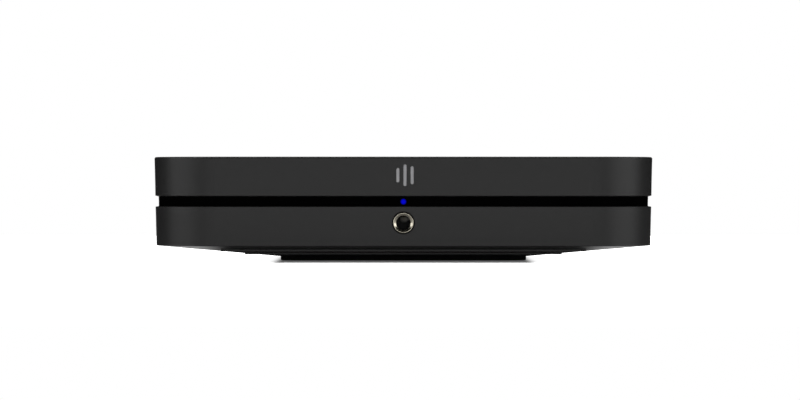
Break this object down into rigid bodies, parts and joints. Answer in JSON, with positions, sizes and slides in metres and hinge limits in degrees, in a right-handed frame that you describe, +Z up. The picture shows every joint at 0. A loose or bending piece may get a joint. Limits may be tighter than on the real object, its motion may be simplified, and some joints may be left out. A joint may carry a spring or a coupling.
{
  "type": "network music streamer",
  "caption": "Low black desktop music streamer in two halves over a dark groove, with a front headphone socket, a status light and a row of rear sockets.",
  "frame": {"origin": "on the surface it stands on, under the middle of the case", "axes": "+X to the right seen from the front, +Y to the rear panel, +Z up; the front faces -Y"},
  "size_m": [0.22, 0.146, 0.046],
  "materials": {
    "case_black": "fine satin black",
    "gloss_black": "gloss",
    "board_green": "solder mask",
    "chip_black": "moulded",
    "ribbon_white": "film",
    "polished_metal": "polished",
    "insert_brass": "knurled",
    "band_black": "matt",
    "light_blue": "clear light pipe",
    "lamp_clear": "clear",
    "foot_rubber": "matt",
    "screw_steel": "zinc plated",
    "screw_black": "black oxide",
    "panel_black": "satin",
    "socket_black": "moulded",
    "bush_nickel": "satin nickel plate",
    "contact_gold": "gold flash",
    "pad_grey": "soft",
    "sink_aluminium": "extruded",
    "shield_steel": "tin plated",
    "aerial_film": "film",
    "lead_grey": "smooth",
    "can_aluminium": "drawn",
    "connector_ivory": "moulded",
    "shutter_grey": "moulded",
    "shell_nickel": "nickel plate",
    "core_white": "moulded",
    "ferrite_grey": "sintered",
    "coil_yellow": "tape",
    "choke_copper": "enamelled wire",
    "can_sleeve": "shrink sleeve",
    "filter_yellow": "moulded",
    "wire_red": "smooth"
  },
  "bodies": {
    "chassis": {"top_cover": "case_black", "touch_panel": "gloss_black", "touch_board": "board_green", "light_sensors": "chip_black", "touch_ribbon": "ribbon_white", "front_inlay": "polished_metal", "cover_inserts": "insert_brass", "mid_frame": "band_black", "light_pipe": "light_blue", "status_board": "board_green", "status_led": "lamp_clear", "status_ribbon": "ribbon_white", "lower_case": "case_black", "foot_pad": "foot_rubber", "case_screws": "screw_steel", "board_screws": "screw_steel", "panel_screws": "screw_black", "rear_panel": "panel_black", "audio_panel": "panel_black", "bay_rim": "panel_black", "headphone_board": "board_green", "headphone_socket": "socket_black", "headphone_bush": "bush_nickel", "headphone_ribbon": "ribbon_white", "main_board": "board_green", "processor": "chip_black", "thermal_pad": "pad_grey", "heat_sink": "sink_aluminium", "board_chips": "chip_black", "shield_can": "shield_steel", "wireless_module": "shield_steel", "aerials": "aerial_film", "aerial_leads": "lead_grey", "board_capacitors": "can_aluminium", "board_connectors": "connector_ivory", "network_socket": "shield_steel", "network_contacts": "contact_gold", "usb_socket": "shield_steel", "socket_tongues": "socket_black", "av_socket": "shield_steel", "socket_stands": "socket_black", "optical_socket": "socket_black", "phono_blocks": "socket_black", "phono_shells": "shell_nickel", "phono_cores": "core_white", "mini_sockets": "socket_black", "mains_inlet": "socket_black", "mains_pins": "shell_nickel", "power_board": "board_green", "transformer_core": "ferrite_grey", "transformer_coil": "coil_yellow", "mains_choke": "choke_copper", "bulk_capacitor": "can_sleeve", "output_capacitors": "can_sleeve", "mains_filter": "filter_yellow", "power_heat_sink": "sink_aluminium", "power_harness": "wire_red"},
    "shutter": {"optical_shutter": "shutter_grey"},
    "tip_leaf": {"tip_contact": "contact_gold"},
    "ring_leaf": {"ring_contact": "contact_gold"}
  },
  "joints": [
    {"name": "shutter_swing", "type": "hinge", "parent": "chassis", "child": "shutter", "pos_m": [-0.0129, 0.0632, 0.022], "axis": [-1, 0, 0], "range_deg": [0, 85], "stiffness_Nm_per_rad": 0.0003, "springref_deg": -20.05},
    {"name": "tip_contact_flex", "type": "hinge", "parent": "chassis", "child": "tip_leaf", "pos_m": [0, -0.04451, 0.022], "axis": [-1, 0, 0], "range_deg": [0, 6], "stiffness_Nm_per_rad": 0.02},
    {"name": "ring_contact_flex", "type": "hinge", "parent": "chassis", "child": "ring_leaf", "pos_m": [0.0048, -0.05251, 0.0172], "axis": [0, 0, 1], "range_deg": [0, 6], "stiffness_Nm_per_rad": 0.02}
  ]
}
